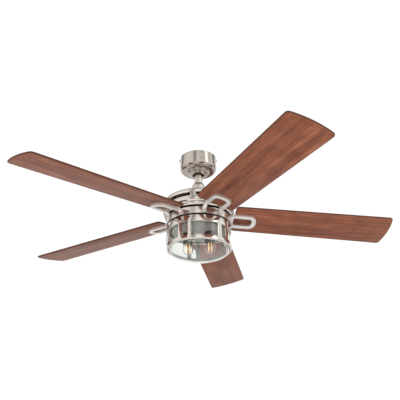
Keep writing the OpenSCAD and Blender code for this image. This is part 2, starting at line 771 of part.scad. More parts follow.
module glass_shade() color([0.85, 0.9, 0.9, 0.35]) at_hub() {
    r = glass_r;
    t = glass_t;
    corner_x = r - glass_corner_r;
    sole_x = corner_x + glass_corner_r * sin(glass_sole_a);
    sole_z = glass_corner_z - glass_corner_r * cos(glass_sole_a);
    sole_cx = sole_x - glass_sole_r * sin(glass_sole_a);
    sole_cz = sole_z + glass_sole_r * cos(glass_sole_a);
    revolve(concat(
        [[glass_flange_r, cage_lip_z + 0.05], [r, cage_lip_z + 0.05]],
        arc(corner_x, glass_corner_z, glass_corner_r, 0, -90 + glass_sole_a, 8),
        arc(sole_cx, sole_cz, glass_sole_r, -90 + glass_sole_a, -90, 8),
        [[0, sole_cz - glass_sole_r], [0, sole_cz - glass_sole_r + t]],
        arc(sole_cx, sole_cz, glass_sole_r - t, -90, -90 + glass_sole_a, 8),
        arc(corner_x, glass_corner_z, glass_corner_r - t, -90 + glass_sole_a, 0, 8),
        [[r - t, cage_lip_z + 2.5], [glass_flange_r, cage_lip_z + 2.5]]));
}

// ---- Nodes ----

hanger_bracket();
canopy();
canopy_ring();
canopy_screws();
receiver();
hanger_ball();
ball_pin();
ball_set_screw();
downrod();
motor_coupling();
clevis_pin();
cotter_pin();
coupling_screws();
yoke_cover();
cover_grommet();
top_cover();
motor_housing();
motor_shaft();
stator_core();
stator_windings();
rotor_housing();
rotor_core();
bearing(upper_bearing_z);  // upper_bearing
bearing(lower_bearing_z);  // lower_bearing
flywheel();
blade_bracket(1);  // blade_bracket_1
blade_bracket(2);  // blade_bracket_2
blade_bracket(3);  // blade_bracket_3
blade_bracket(4);  // blade_bracket_4
blade_bracket(5);  // blade_bracket_5
blade(1);  // blade_1
blade(2);  // blade_2
blade(3);  // blade_3
blade(4);  // blade_4
blade(5);  // blade_5
blade_screws();
bracket_screws();
light_fitter();
fitter_nut();
capacitor();
socket_pan();
bulb_socket(1);  // bulb_socket_1
bulb_socket(2);  // bulb_socket_2
bulb_base(1);  // bulb_base_1
bulb_base(2);  // bulb_base_2
bulb_glass(1);  // bulb_glass_1
bulb_glass(2);  // bulb_glass_2
bulb_filament(1);  // bulb_filament_1
bulb_filament(2);  // bulb_filament_2
shade_cage();
glass_shade();
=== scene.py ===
"""Ceiling fan with light: the visual model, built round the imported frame."""
import math
import random

import bmesh
import bpy
from mathutils import Matrix, Vector


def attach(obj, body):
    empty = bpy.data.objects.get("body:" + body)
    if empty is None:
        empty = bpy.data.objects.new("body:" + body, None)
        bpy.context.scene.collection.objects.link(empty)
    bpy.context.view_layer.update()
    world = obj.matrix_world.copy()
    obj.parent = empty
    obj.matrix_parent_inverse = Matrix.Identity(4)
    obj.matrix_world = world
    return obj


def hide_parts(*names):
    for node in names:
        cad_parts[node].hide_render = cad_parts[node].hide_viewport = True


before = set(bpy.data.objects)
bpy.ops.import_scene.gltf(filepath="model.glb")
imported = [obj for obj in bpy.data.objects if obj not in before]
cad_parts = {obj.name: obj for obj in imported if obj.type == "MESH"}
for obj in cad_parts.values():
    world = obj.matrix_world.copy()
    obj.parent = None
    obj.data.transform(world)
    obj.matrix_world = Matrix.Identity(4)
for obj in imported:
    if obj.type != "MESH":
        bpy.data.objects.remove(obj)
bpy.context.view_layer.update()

# ---------------------------------------------------------------- shared sizes
# Outlines are in millimetres. Heights are measured from the plane of the blades, except on the ceiling mount,
# where they are measured from the ceiling.

MM = 0.001
BLADE_PLANE = -0.221  # metres
BLADE_COUNT = 5
FIRST_AZIMUTH = 6.6
BLADE_STEP = 360 / BLADE_COUNT
PITCH = math.radians(12.3)
DROOP = math.radians(2.4)
SEGMENTS = 192
THIN_SHEET, SHEET = 1.2, 1.5

# ---------------------------------------------------------------- camera

CAMERA_AT = Vector((-0.01645, -1.74827, -1.02829))
CAMERA_YAW = 0.0121
CAMERA_PITCH = 0.4606
CAMERA_ROLL = -0.0129
CAMERA_LENS_MM = 51.497


def make_camera():
    data = bpy.data.cameras.new("camera")
    data.sensor_width = 36
    data.lens = CAMERA_LENS_MM
    data.clip_end = 50
    cam = bpy.data.objects.new("camera", data)
    bpy.context.scene.collection.objects.link(cam)
    level = math.cos(CAMERA_PITCH)
    forward = Vector((math.sin(CAMERA_YAW) * level, math.cos(CAMERA_YAW) * level, math.sin(CAMERA_PITCH)))
    right = Vector((math.cos(CAMERA_YAW), -math.sin(CAMERA_YAW), 0))
    up = right.cross(forward)
    c, s = math.cos(CAMERA_ROLL), math.sin(CAMERA_ROLL)
    axes = Matrix((right * c + up * s, up * c - right * s, -forward)).transposed()
    cam.matrix_world = Matrix.Translation(CAMERA_AT) @ axes.to_4x4()
    bpy.context.scene.camera = cam


# ---------------------------------------------------------------- materials


def fill(tree, socket, value):
    """Links a socket into another, or sets it to a number or a colour."""
    if isinstance(value, bpy.types.NodeSocket):
        tree.links.new(value, socket)
    elif isinstance(value, (int, float)):
        socket.default_value = value
    else:
        socket.default_value = (*value, 1)


def mixed(tree, kind, factor, a, b):
    n = tree.nodes.new("ShaderNodeMix")
    n.data_type = "RGBA"
    n.blend_type = kind
    for index, value in ((0, factor), (6, a), (7, b)):
        fill(tree, n.inputs[index], value)
    return n.outputs[2]


def colour_ramp(tree, source, stops):
    n = tree.nodes.new("ShaderNodeValToRGB")
    elements = n.color_ramp.elements
    while len(elements) < len(stops):
        elements.new(0.5)
    for element, (position, colour) in zip(elements, stops):
        element.position = position
        element.color = (*colour, 1)
    tree.links.new(source, n.inputs["Fac"])
    return n.outputs["Color"]


class Shader:
    """A small builder for node materials."""

    def __init__(self, name):
        self.material = bpy.data.materials.new(name)
        self.material.use_nodes = True
        self.tree = self.material.node_tree
        self.tree.nodes.clear()
        out = self.tree.nodes.new("ShaderNodeOutputMaterial")
        self.bsdf = self.tree.nodes.new("ShaderNodeBsdfPrincipled")
        self.join(self.bsdf.outputs[0], out.inputs["Surface"])
        self.coords = self.tree.nodes.new("ShaderNodeTexCoord").outputs["Object"]

    def join(self, a, b):
        self.tree.links.new(a, b)

    def feed(self, **sources):
        """Links outputs to the shader's sockets."""
        for key, source in sources.items():
            self.join(source, self.bsdf.inputs[key.replace("_", " ")])

    def const(self, **values):
        """Sets the shader's own sockets."""
        for key, value in values.items():
            self.bsdf.inputs[key.replace("_", " ")].default_value = value

    def mapping(self, scale, location=(0, 0, 0), source=None):
        n = self.tree.nodes.new("ShaderNodeMapping")
        n.inputs["Scale"].default_value = scale
        n.inputs["Location"].default_value = location
        self.join(source or self.coords, n.inputs["Vector"])
        return n.outputs[0]

    def local(self, place):
        """The object's coordinates as read from a placed frame."""
        n = self.tree.nodes.new("ShaderNodeMapping")
        n.vector_type = "TEXTURE"
        n.inputs["Location"].default_value = place.to_translation()
        n.inputs["Rotation"].default_value = place.to_euler()
        self.join(self.coords, n.inputs["Vector"])
        return n.outputs[0]

    def noise(self, scale, source=None, detail=4.0, rough=0.55):
        n = self.tree.nodes.new("ShaderNodeTexNoise")
        n.inputs["Scale"].default_value = scale
        n.inputs["Detail"].default_value = detail
        n.inputs["Roughness"].default_value = rough
        self.join(source or self.coords, n.inputs["Vector"])
        return n.outputs["Fac"]

    def ramp(self, source, stops):
        return colour_ramp(self.tree, source, stops)

    def span(self, source, low, high, from_low=0.3, from_high=0.7):
        n = self.tree.nodes.new("ShaderNodeMapRange")
        n.inputs["From Min"].default_value = from_low
        n.inputs["From Max"].default_value = from_high
        n.inputs["To Min"].default_value = low
        n.inputs["To Max"].default_value = high
        self.join(source, n.inputs["Value"])
        return n.outputs[0]

    def mix(self, factor, a, b):
        return mixed(self.tree, "MIX", factor, a, b)

    def darken(self, factor, colour, by):
        return mixed(self.tree, "MULTIPLY", factor, colour, by)

    def add(self, a, b):
        n = self.tree.nodes.new("ShaderNodeMath")
        n.operation = "ADD"
        fill(self.tree, n.inputs[0], a)
        fill(self.tree, n.inputs[1], b)
        return n.outputs[0]

    def shifted(self, dy):
        """The coordinates moved along Y by a varying amount."""
        shift = self.tree.nodes.new("ShaderNodeCombineXYZ")
        self.join(dy, shift.inputs["Y"])
        moved = self.tree.nodes.new("ShaderNodeVectorMath")
        self.join(self.coords, moved.inputs[0])
        self.join(shift.outputs[0], moved.inputs[1])
        return moved.outputs[0]

    def bump(self, height, strength, distance):
        n = self.tree.nodes.new("ShaderNodeBump")
        n.inputs["Strength"].default_value = strength
        n.inputs["Distance"].default_value = distance
        self.join(height, n.inputs["Height"])
        self.feed(Normal=n.outputs[0])


def metal(name, colour, rough, brush=(1, 1, 1), brush_scale=400.0, bump=0.05, tint=0.10):
    """Metal with fine brushing, and smudges that dull and darken it by up to tint."""
    s = Shader(name)
    s.const(Metallic=1.0)
    smudge = s.noise(14.0, detail=3.0)
    dark = tuple(c * (1 - tint) for c in colour)
    s.feed(Base_Color=s.mix(s.span(smudge, 0.0, 1.0), dark, colour))
    grain = s.noise(brush_scale, s.mapping(brush), detail=3.0, rough=0.6)
    s.feed(Roughness=s.add(s.span(grain, -0.04, 0.04), s.span(smudge, rough * 0.85, rough * 1.2)))
    s.bump(grain, bump, 0.0002)
    return s.material


def plastic(name, colour, rough=0.45, grain=900.0, shine=0.5):
    """Moulded plastic, rubber or enamel with a fine grain and broad uneven tone."""
    s = Shader(name)
    s.const(Specular_IOR_Level=shine)
    fine = s.noise(grain, detail=2.0)
    broad = s.noise(18.0, detail=3.0)
    lighter = tuple(min(1, c * 1.35 + 0.01) for c in colour)
    s.feed(Base_Color=s.mix(s.span(broad, 0.0, 1.0), colour, lighter),
           Roughness=s.span(fine, rough - 0.06, rough + 0.08))
    s.bump(fine, 0.25, 0.0001)
    return s.material


def walnut(name, seed, place):
    """Walnut veneer with its grain along the placed frame's X."""
    rnd = random.Random(seed)
    at = (rnd.uniform(-9, 9), rnd.uniform(-9, 9), rnd.uniform(-9, 9))
    s = Shader(name)
    s.coords = s.local(place)
    wander = s.noise(1.0, s.mapping((2.2, 9.0, 1.0), at), detail=2.0)
    moved = s.shifted(s.span(wander, -0.006, 0.006, 0.25, 0.75))
    bands = s.noise(1.0, s.mapping((2.2, 46.0, 6.0), at, moved), detail=5.0, rough=0.66)
    streaks = s.noise(1.0, s.mapping((9.0, 360.0, 20.0), at, moved), detail=4.0, rough=0.62)
    pores = s.noise(1.0, s.mapping((42.0, 1500.0, 60.0), at, moved), detail=3.0, rough=0.7)
    cloud = s.noise(1.0, s.mapping((14.0, 26.0, 4.0), at), detail=3.0)
    wood = s.ramp(bands, [(0.30, (0.170, 0.053, 0.028)), (0.44, (0.243, 0.077, 0.038)),
                          (0.56, (0.302, 0.101, 0.050)), (0.72, (0.375, 0.137, 0.067))])
    wood = s.darken(s.span(streaks, 0.0, 0.75, 0.42, 0.62), wood, (0.55, 0.45, 0.41))
    wood = s.darken(s.span(pores, 0.0, 0.9, 0.56, 0.70), wood, (0.36, 0.28, 0.24))
    wood = s.darken(s.span(cloud, 0.0, 0.9, 0.38, 0.64), wood, (0.70, 0.66, 0.66))
    s.feed(Base_Color=wood, Roughness=s.span(streaks, 0.40, 0.52))
    s.const(Specular_IOR_Level=0.34)
    s.bump(s.add(s.span(pores, 1.0, 0.0, 0.5, 0.75), s.span(streaks, 0.0, 0.3)), 0.35, 0.00012)
    return s.material


def glass(name, tint, ripple):
    s = Shader(name)
    s.const(Transmission_Weight=1.0, IOR=1.47)
    wave = s.noise(9.0, detail=2.0)
    faint = tuple(min(1.0, c * 1.015) for c in tint)
    s.feed(Base_Color=s.mix(s.span(wave, 0.0, 1.0), tint, faint),
           Roughness=s.span(s.noise(60.0, detail=3.0), 0.0, 0.02))
    s.bump(wave, ripple, 0.002)
    return s.material


def glow(name, colour, strength):
    s = Shader(name)
    flicker = s.noise(220.0, s.mapping((1, 1, 0.25)), detail=2.0)
    low = tuple(c * 0.72 for c in colour)
    tone = s.mix(s.span(flicker, 0.0, 1.0), low, colour)
    s.feed(Base_Color=tone, Emission_Color=tone)
    s.const(Emission_Strength=strength, Roughness=0.4)
    return s.material


NICKEL = (0.80, 0.755, 0.705)
LATHED = (0.02, 0.02, 1)  # brushing that runs round the axis
polished = metal("polished_nickel", NICKEL, 0.13, (1, 1, 6), 500.0, 0.02, 0.06)
# Near-black nickel is painted shade: it goes on the rotor band's inner faces, the fitter cup and the lugs,
# which are seen dark through the gaps.
painted_shade_nickel = metal("painted_shade_nickel", (0.045, 0.042, 0.040), 0.50, (1, 1, 1), 300.0, 0.05, 0.2)
turned = metal("turned_nickel", (0.60, 0.545, 0.495), 0.16, LATHED, 2600.0, 0.06, 0.10)
drawn = metal("drawn_nickel", (0.71, 0.66, 0.61), 0.27, LATHED, 2600.0, 0.10, 0.08)
cast = metal("cast_nickel", (0.97, 0.945, 0.92), 0.45, (1, 1, 1), 260.0, 0.05, 0.06)
satin = metal("satin_nickel", NICKEL, 0.24, (0.05, 0.05, 1), 1500.0, 0.05, 0.06)
steel = metal("zinc_steel", (0.60, 0.61, 0.62), 0.34, (1, 1, 1), 350.0, 0.10, 0.22)
alloy = metal("cast_aluminium", (0.58, 0.58, 0.59), 0.42, (1, 1, 1), 180.0, 0.25, 0.20)
laminations = metal("laminations", (0.30, 0.30, 0.31), 0.45, (0.1, 0.1, 1), 2500.0, 0.30, 0.30)
copper = metal("copper_wire", (0.72, 0.34, 0.18), 0.30, (0.1, 0.1, 1), 1800.0, 0.50, 0.25)
brass = metal("cap_brass", (0.78, 0.66, 0.42), 0.26, (1, 1, 3), 500.0, 0.08, 0.15)
enamel = plastic("pan_enamel", (0.36, 0.345, 0.32), 0.30, 90.0)
rubber = plastic("black_rubber", (0.012, 0.012, 0.012), 0.6, 1200.0)
resin = plastic("black_resin", (0.022, 0.021, 0.020), 0.42)
case = plastic("black_case", (0.03, 0.03, 0.032), 0.5, 1400.0)
edge_band = plastic("blade_edge", (0.080, 0.030, 0.018), 0.7, 700.0, 0.12)
shade_glass = glass("shade_glass", (0.955, 0.975, 0.970), ripple=0.02)
bulb_clear = glass("bulb_clear", (0.99, 0.975, 0.94), ripple=0.0)
filament_glow = glow("filament_glow", (1.0, 0.62, 0.26), 1.5)

# ---------------------------------------------------------------- mesh tools
# A part on its way into a mesh is a pair (verts, faces), in metres.


def new_object(name, mesh):
    obj = bpy.data.objects.new(name, mesh)
    bpy.context.scene.collection.objects.link(obj)
    return obj


def new_mesh(name, verts, faces):
    mesh = bpy.data.meshes.new(name)
    mesh.from_pydata([tuple(v) for v in verts], [], faces)
    return mesh


def shade_smooth(mesh, sharp):
    mesh.polygons.foreach_set("use_smooth", [True] * len(mesh.polygons))
    mesh.set_sharp_from_angle(angle=math.radians(sharp))


def finish_mesh(name, mesh, material, body, replaces=(), sharp=32, place=None):
    """Cleans a mesh and makes it a piece that rides a body."""
    bm = bmesh.new()
    bm.from_mesh(mesh)
    bmesh.ops.remove_doubles(bm, verts=bm.verts, dist=1e-7)
    bmesh.ops.recalc_face_normals(bm, faces=bm.faces)
    bm.to_mesh(mesh)
    bm.free()
    if place is not None:
        mesh.transform(place)
    shade_smooth(mesh, sharp)
    obj = new_object(name, mesh)
    for m in material if isinstance(material, (list, tuple)) else [material]:
        mesh.materials.append(m)
    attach(obj, body)
    if replaces:
        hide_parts(*replaces)
    return obj


def joined(parts):
    verts, faces = [], []
    for part_verts, part_faces in parts:
        faces += [tuple(i + len(verts) for i in face) for face in part_faces]
        verts += list(part_verts)
    return verts, faces


def merged(name, parts, material, body, replaces=()):
    return finish_mesh(name, new_mesh(name, *joined(parts)), material, body, replaces)


def oval(cx, cy, rx, ry, a0, a1, n):
    angles = [math.radians(a0 + (a1 - a0) * i / n) for i in range(n + 1)]
    return [(cx + rx * math.cos(a), cy + ry * math.sin(a)) for a in angles]


def arc(cx, cy, r, a0, a1, n):
    return oval(cx, cy, r, r, a0, a1, n)


def soften(points, radius, steps=3, least=22):
    """Rounds every corner of a closed outline that turns by more than the least angle."""
    out = []
    n = len(points)
    for i in range(n):
        p, q, r = (Vector(points[(i + k) % n]) for k in (-1, 0, 1))
        a, b = p - q, r - q
        meets = a.length < 1e-6 or b.length < 1e-6
        if meets or abs(q.x) < 1e-6 or 180 - math.degrees(a.angle(b)) < least:
            out.append(tuple(q))
            continue
        cut = min(radius, a.length * 0.42, b.length * 0.42)
        start, end = q + a.normalized() * cut, q + b.normalized() * cut
        for k in range(steps + 1):
            t = k / steps
            out.append(tuple(start * (1 - t) ** 2 + q * 2 * t * (1 - t) + end * t * t))
    return out


def lathe_mesh(profile, segments, z0, centre):
    """Revolves a closed outline of (radius, height) in millimetres."""
    verts, faces = [], []
    n = len(profile)
    on_axis = [abs(r) < 1e-6 for r, z in profile]
    for k in range(segments):
        a = 2 * math.pi * k / segments
        verts += [(centre[0] + r * MM * math.cos(a), centre[1] + r * MM * math.sin(a), z0 + z * MM)
                  for r, z in profile]
        after = (k + 1) % segments
        for i in range(n):
            j = (i + 1) % n
            if not (on_axis[i] and on_axis[j]):
                faces.append((k * n + i, after * n + i, after * n + j, k * n + j))
    mesh = new_mesh("lathe", verts, faces)
    bm = bmesh.new()
    bm.from_mesh(mesh)
    bmesh.ops.remove_doubles(bm, verts=bm.verts, dist=1e-7)
    bmesh.ops.dissolve_degenerate(bm, edges=bm.edges, dist=1e-8)
    bm.to_mesh(mesh)
    bm.free()
    return mesh


def lathe(name, profile, material, body, replaces=(), round_r=0.5,
          segments=SEGMENTS, z0=BLADE_PLANE, centre=(0, 0)):
    mesh = lathe_mesh(soften(profile, round_r), segments, z0, centre)
    return finish_mesh(name, mesh, material, body, replaces)


def baked(obj, sharp=None):
    """Applies an object's modifiers to its mesh."""
    graph = bpy.context.evaluated_depsgraph_get()
    graph.update()
    new = bpy.data.meshes.new_from_object(obj.evaluated_get(graph))
    obj.modifiers.clear()
    obj.data = new
    if sharp:
        shade_smooth(new, sharp)


def bevelled(obj, width, segments=2, angle=35):
    m = obj.modifiers.new("round", "BEVEL")
    m.width = width * MM
    m.segments = segments
    m.limit_method = "ANGLE"
    m.angle_limit = math.radians(angle)
    m.harden_normals = False
    baked(obj, 40)


def subtract(obj, cutters):
    """Cuts parts out of an object."""
    tool = new_object("cutter", new_mesh("cutter", *joined(cutters)))
    m = obj.modifiers.new("cut", "BOOLEAN")
    m.operation = "DIFFERENCE"
    m.solver = "EXACT"
    m.object = tool
    baked(obj, 32)
    bpy.data.objects.remove(tool)


def grid_faces(rows, cols, closed=False):
    faces = []
    for i in range(rows - 1):
        for j in range(cols if closed else cols - 1):
            k = (j + 1) % cols
            faces.append((i * cols + j, i * cols + k, (i + 1) * cols + k, (i + 1) * cols + j))
    return faces


def capped_faces(rows, cols):
    """Faces of a tube of rings, closed at both ends."""
    return grid_faces(rows, cols, True) + [tuple(reversed(range(cols))),
                                           tuple((rows - 1) * cols + k for k in range(cols))]


def block(centre, size, turn=0.0):
    """A box, turned about the Z axis through the origin."""
    c, s = math.cos(math.radians(turn)), math.sin(math.radians(turn))
    verts = []
    for dz in (-1, 1):
        for dx, dy in ((-1, -1), (1, -1), (1, 1), (-1, 1)):
            x, y, z = (at + d * full / 2 for at, d, full in zip(centre, (dx, dy, dz), size))
            verts.append((x * c - y * s, x * s + y * c, z))
    faces = [(3, 2, 1, 0), (4, 5, 6, 7), (0, 1, 5, 4), (1, 2, 6, 5), (2, 3, 7, 6), (3, 0, 4, 7)]
    return verts, faces


def ring_points(centre, axis, radius, around):
    """Points of a circle about an axis."""
    side = axis.orthogonal().normalized()
    other = axis.cross(side)
    angles = [2 * math.pi * k / around for k in range(around)]
    return [centre + side * radius * math.cos(a) + other * radius * math.sin(a) for a in angles]


def pin(start, end, radius, around=20):
    """A plain shank."""
    a, b = Vector(start), Vector(end)
    axis = (b - a).normalized()
    verts = ring_points(a, axis, radius, around) + ring_points(b, axis, radius, around)
    return verts, capped_faces(2, around)


def screw_head(centre, direction, radius, height):
    """A domed head with a cross recess."""
    rings, around = 8, 32
    recess_reach, recess_half, recess_depth = radius * 0.62, radius * 0.17, height * 0.45
    axis = Vector(direction).normalized()
    verts = []
    for i in range(rings + 1):
        t = i / rings
        r = radius * math.sin(math.radians(12 + 78 * (1 - t))) if i < rings else 0.0
        z = height * (0.35 + 0.65 * math.sin(math.radians(90 * t)))
        for k, p in enumerate(ring_points(Vector(centre) + axis * z, axis, r, around)):
            a = 2 * math.pi * k / around
            spoke = min(abs(math.sin(a)), abs(math.cos(a))) * r
            sunk = r < recess_reach and spoke < recess_half
            verts.append(p - axis * recess_depth if sunk else p)
    base = len(verts)
    verts += ring_points(Vector(centre), axis, radius, around)
    faces = grid_faces(rings + 1, around, True)
    faces += [(base + k, base + (k + 1) % around, (k + 1) % around, k) for k in range(around)]
    faces.append(tuple(base + k for k in reversed(range(around))))
    return verts, faces


def polar(r, azimuth, z):
    """A place given by radius and height in millimetres and azimuth in degrees."""
    a = math.radians(azimuth)
    return Vector((r * MM * math.cos(a), r * MM * math.sin(a), BLADE_PLANE + z * MM))


def curved_plate(r_in, r_out, azimuth, half, z_low, z_high, steps=8):
    """A plate bent to a radius, reaching half degrees to each side of its azimuth."""
    verts = [polar(r, azimuth - half + 2 * half * i / steps, z) for i in range(steps + 1)
             for r, z in ((r_in, z_low), (r_out, z_low), (r_out, z_high), (r_in, z_high))]
    return verts, capped_faces(steps + 1, 4)


# ---------------------------------------------------------------- ceiling mount and rod

CANOPY_R, CANOPY_H, CANOPY_EDGE = 63.5, 53.0, 13.0
SLIT_COUNT, FIRST_SLIT, SLIT_STEP = 8, -81, 45
CANOPY_SCREW_Z = -7
CANOPY_SCREW_IN = 50.5


def make_canopy():
    edge_x, edge_z = CANOPY_R - CANOPY_EDGE, CANOPY_EDGE - CANOPY_H
    shell = ([(CANOPY_R - 0.4, 0), (CANOPY_R, -0.5)]
             + arc(edge_x, edge_z, CANOPY_EDGE, 0, -90, 14)
             + [(22, -CANOPY_H), (22, THIN_SHEET - CANOPY_H)]
             + arc(edge_x, edge_z, CANOPY_EDGE - THIN_SHEET, -90, 0, 14)
             + [(CANOPY_R - THIN_SHEET, 0)])
    canopy = lathe("canopy_shell", shell, turned, "ceiling_mount", ["canopy"], z0=0.0)
    slit_at, slit_size = (CANOPY_R * MM, 0, -0.015), (0.012, 0.018, 0.002)
    subtract(canopy, [block(slit_at, slit_size, FIRST_SLIT + SLIT_STEP * k) for k in range(SLIT_COUNT)])


def make_canopy_trim():
    outside = ([(39, 0), (39, -2)] + arc(34, -2, 4, -10, -80, 4)
               + [(32, -7), (31, -8.4), (26.5, -9), (25, -12), (21.5, -13), (20, -12.4)])
    inside = [(20, -11), (23.8, -10.6), (25.4, -7.4), (30.8, -6), (32.2, -1.4), (34, 0)]
    profile = [(r, z - CANOPY_H) for r, z in outside + inside]
    lathe("canopy_trim", profile, turned, "ceiling_mount", ["canopy_ring"], z0=0.0)


def make_canopy_screws():
    parts = []
    for side in (-1, 1):
        seat, inner, outer = (Vector((side * r, 0, CANOPY_SCREW_Z)) * MM
                              for r in (CANOPY_R + 0.05, CANOPY_SCREW_IN, CANOPY_R + 0.1))
        parts.append(screw_head(seat, (side, 0, 0), 0.0042, 0.0028))
        parts.append(pin(inner, outer, 0.002))
    merged("canopy_screw_set", parts, polished, "ceiling_mount", ["canopy_screws"])


ROD_R, ROD_BORE_R = 13.3, 11.0
ROD_TOP, ROD_LOW = -0.020 / MM - BLADE_PLANE / MM, 66
BELL_R, BELL_TOP_R, BELL_TOP, BELL_MID = 23.4, 14.6, 119.5, 102.0
BELL_WAIST, BELL_FLARE, BELL_INSIDE_R = 84, 8, 13.7


def make_rod():
    profile = [(ROD_R, ROD_TOP), (ROD_BORE_R, ROD_TOP), (ROD_BORE_R, ROD_LOW), (ROD_R, ROD_LOW)]
    lathe("hanging_rod", profile, drawn, "motor_body", ["downrod"], 0.6)


def make_bell():
    """The bell that covers the coupling, with its foot flared out onto the dome."""
    shoulder_r, shoulder_h = BELL_R - BELL_TOP_R, BELL_TOP - BELL_MID
    flare_x = BELL_R + BELL_FLARE
    profile = ([(BELL_INSIDE_R, BELL_TOP), (BELL_INSIDE_R, BELL_TOP - THIN_SHEET)]
               + oval(BELL_TOP_R, BELL_MID, shoulder_r - THIN_SHEET, shoulder_h - THIN_SHEET, 90, 0, 12)
               + [(BELL_R - THIN_SHEET, BELL_WAIST)]
               + arc(flare_x, BELL_WAIST, BELL_FLARE + THIN_SHEET, 180, 236, 6)
               + [(r, cap_height(r) + 0.05) for r in (26, 30)]
               + arc(flare_x, BELL_WAIST, BELL_FLARE, 240, 180, 6)
               + oval(BELL_TOP_R, BELL_MID, shoulder_r, shoulder_h, 0, 90, 14))
    lathe("yoke_bell", profile, drawn, "motor_body", ["yoke_cover"], 0.4)
    low, high = BELL_TOP + 0.05, BELL_TOP + 2
    outer, inner = BELL_TOP_R + 1, ROD_R + 0.05
    lathe("bell_grommet", [(outer, low), (outer, high), (inner, high), (inner, low)], rubber,
          "motor_body", ["cover_grommet"], 0.6)


# ---------------------------------------------------------------- motor housing

HOUSING_R = 120.0
CAP_SPHERE, CAP_HOLE_R = 262.0, 19
SHOULDER_Z, SHOULDER_IN = 37.4, 8
CAP_JOIN = math.degrees(math.asin((HOUSING_R - SHOULDER_IN) / CAP_SPHERE))
CAP_EDGE_R = SHOULDER_IN / (1 - math.sin(math.radians(CAP_JOIN)))
CAP_CENTRE = SHOULDER_Z + (CAP_EDGE_R - CAP_SPHERE) * math.cos(math.radians(CAP_JOIN))
BULGE_R, BULGE_Z, BULGE_TOP = HOUSING_R - 22, 9.0, 36.0
FIRST_STRAP, STRAP_W = -99, 18


def cap_height(r):
    return CAP_CENTRE + math.sqrt(CAP_SPHERE * CAP_SPHERE - r * r)


def make_dome():
    """The spherical cap with its rolled shoulder."""
    hole = 90 - math.degrees(math.asin(CAP_HOLE_R / CAP_SPHERE))
    join = 90 - CAP_JOIN
    edge_x = HOUSING_R - CAP_EDGE_R
    profile = (arc(0, CAP_CENTRE, CAP_SPHERE, hole, join, 28)
               + arc(edge_x, SHOULDER_Z, CAP_EDGE_R, join, 0, 12)
               + [(HOUSING_R, 32), (HOUSING_R - SHEET, 32)]
               + arc(edge_x, SHOULDER_Z, CAP_EDGE_R - SHEET, 0, join, 12)
               + arc(0, CAP_CENTRE, CAP_SPHERE - SHEET, join, hole, 28))
    lathe("dome", profile, polished, "motor_body", ["top_cover"], 0.6)


def make_housing_band():
    """The bulged band with the rolled lip below it."""
    bulge_w, bulge_h = HOUSING_R - BULGE_R, BULGE_TOP - BULGE_Z
    outside = (oval(BULGE_R, BULGE_Z, bulge_w, bulge_h, 90, 0, 20)
               + arc(HOUSING_R - 8, BULGE_Z, 8, 0, -58, 8)
               + [(113.3, 1.4), (113.3, -0.2)]
               + oval(109, -1, 6.5, 8, 0, -90, 10))
    inside = ([(88, -9), (88, -7.5)]
              + oval(109, -1, 3.0, 6.5, -90, 0, 6)
              + [(111.8, 3.4), (116.5, 6)]
              + oval(BULGE_R, BULGE_Z, bulge_w - SHEET, bulge_h - SHEET, 0, 90, 16))
    lathe("housing_band", outside + inside, polished, "motor_body", ["motor_housing"], 0.6)


def make_straps():
    r_in, r_out = 115.6, 118.3
    half = math.degrees(STRAP_W / 2 / r_out)
    parts = [curved_plate(r_in, r_out, FIRST_STRAP + k * BLADE_STEP, half, 12, 36.8)
             for k in range(BLADE_COUNT)]
    straps = merged("housing_straps", parts, polished, "motor_body", ())
    bevelled(straps, 0.5)


# ---------------------------------------------------------------- rotor

BAND_R, BAND_LOW = 107, -37
BLADE_T = 5.5
BAR_H = 12.0
LOOP_HALF, LOOP_END, LOOP_CORNER = 33.0, 193.5, 25.0
SLOT_HALF, SLOT_END, SLOT_CORNER = 19.5, 178.5, 14.0
LOOP_ROOT = 128.0
LOOP_STEPS = 12
LEG_MID = (LOOP_HALF + SLOT_HALF) / 2
FOOT_IN, FOOT_OUT = BAND_R + 0.05, 112.0
FOOT_TOP, FOOT_W = -33, 9.5
HIGH_FOOT, LOW_FOOT = -15.75, 13.85  # azimuths of a bracket's two feet
TILT = Matrix.Rotation(DROOP, 4, "Y") @ Matrix.Rotation(-PITCH, 4, "X")
ROOT_R, ROOT_W, TIP_R, TIP_W = 119.0, 131.0, 660.5, 145.0
TIP_SAGITTA = 8.9
BLADE_CORNER = 12.0
BLADE_EDGE = 0.9
BLADE_SCREWS = ((145, -LEG_MID), (145, LEG_MID), (186, 0))


def make_flywheel():
    profile = [(BAND_R, -14), (BAND_R, BAND_LOW), (102, BAND_LOW), (102, -18), (23, -18), (23, -24),
               (20.05, -24), (20.05, -10.05), (23, -10.05), (23, -14)]
    band = lathe("flywheel_band", profile, [satin, painted_shade_nickel], "rotor", ["flywheel"],
                 0.7)
    # Faces inside the band's outer face take the near-black nickel: painted shade for the dark gaps above and
    # below the band.
    for face in band.data.polygons:
        outside = face.center.xy.length > (BAND_R - 0.7) * MM
        face.material_index = 0 if outside else 1


def blade_turn(i):
    """Places what is drawn for a blade at azimuth 0."""
    azimuth = math.radians(FIRST_AZIMUTH + i * BLADE_STEP)
    return Matrix.Translation((0, 0, BLADE_PLANE)) @ Matrix.Rotation(azimuth, 4, "Z")


def bar_ring(outer, inner, x_shift=0.0):
    """Corners of the loop's bar (outer low, inner low, inner high, outer high), under the tilted blade."""
    top, low = -BLADE_T / 2, -BLADE_T / 2 - BAR_H
    return [TILT @ Vector((x + shift, y, z)) for (x, y), shift, z in
            ((outer, x_shift, low), (inner, x_shift, low), (inner, 0, top), (outer, 0, top))]


def foot_ring(azimuth, side, width, r_in, z_in, r_out, z_out):
    """Corners of a foot's bar, facing outwards at its azimuth."""
    a = math.radians(azimuth)
    out = Vector((math.cos(a), math.sin(a), 0))
    along = Vector((-math.sin(a), math.cos(a), 0)) * side * width / 2
    low, high = out * r_out + Vector((0, 0, z_out)), out * r_in + Vector((0, 0, z_in))
    return [low + along, low - along, high - along, high + along]


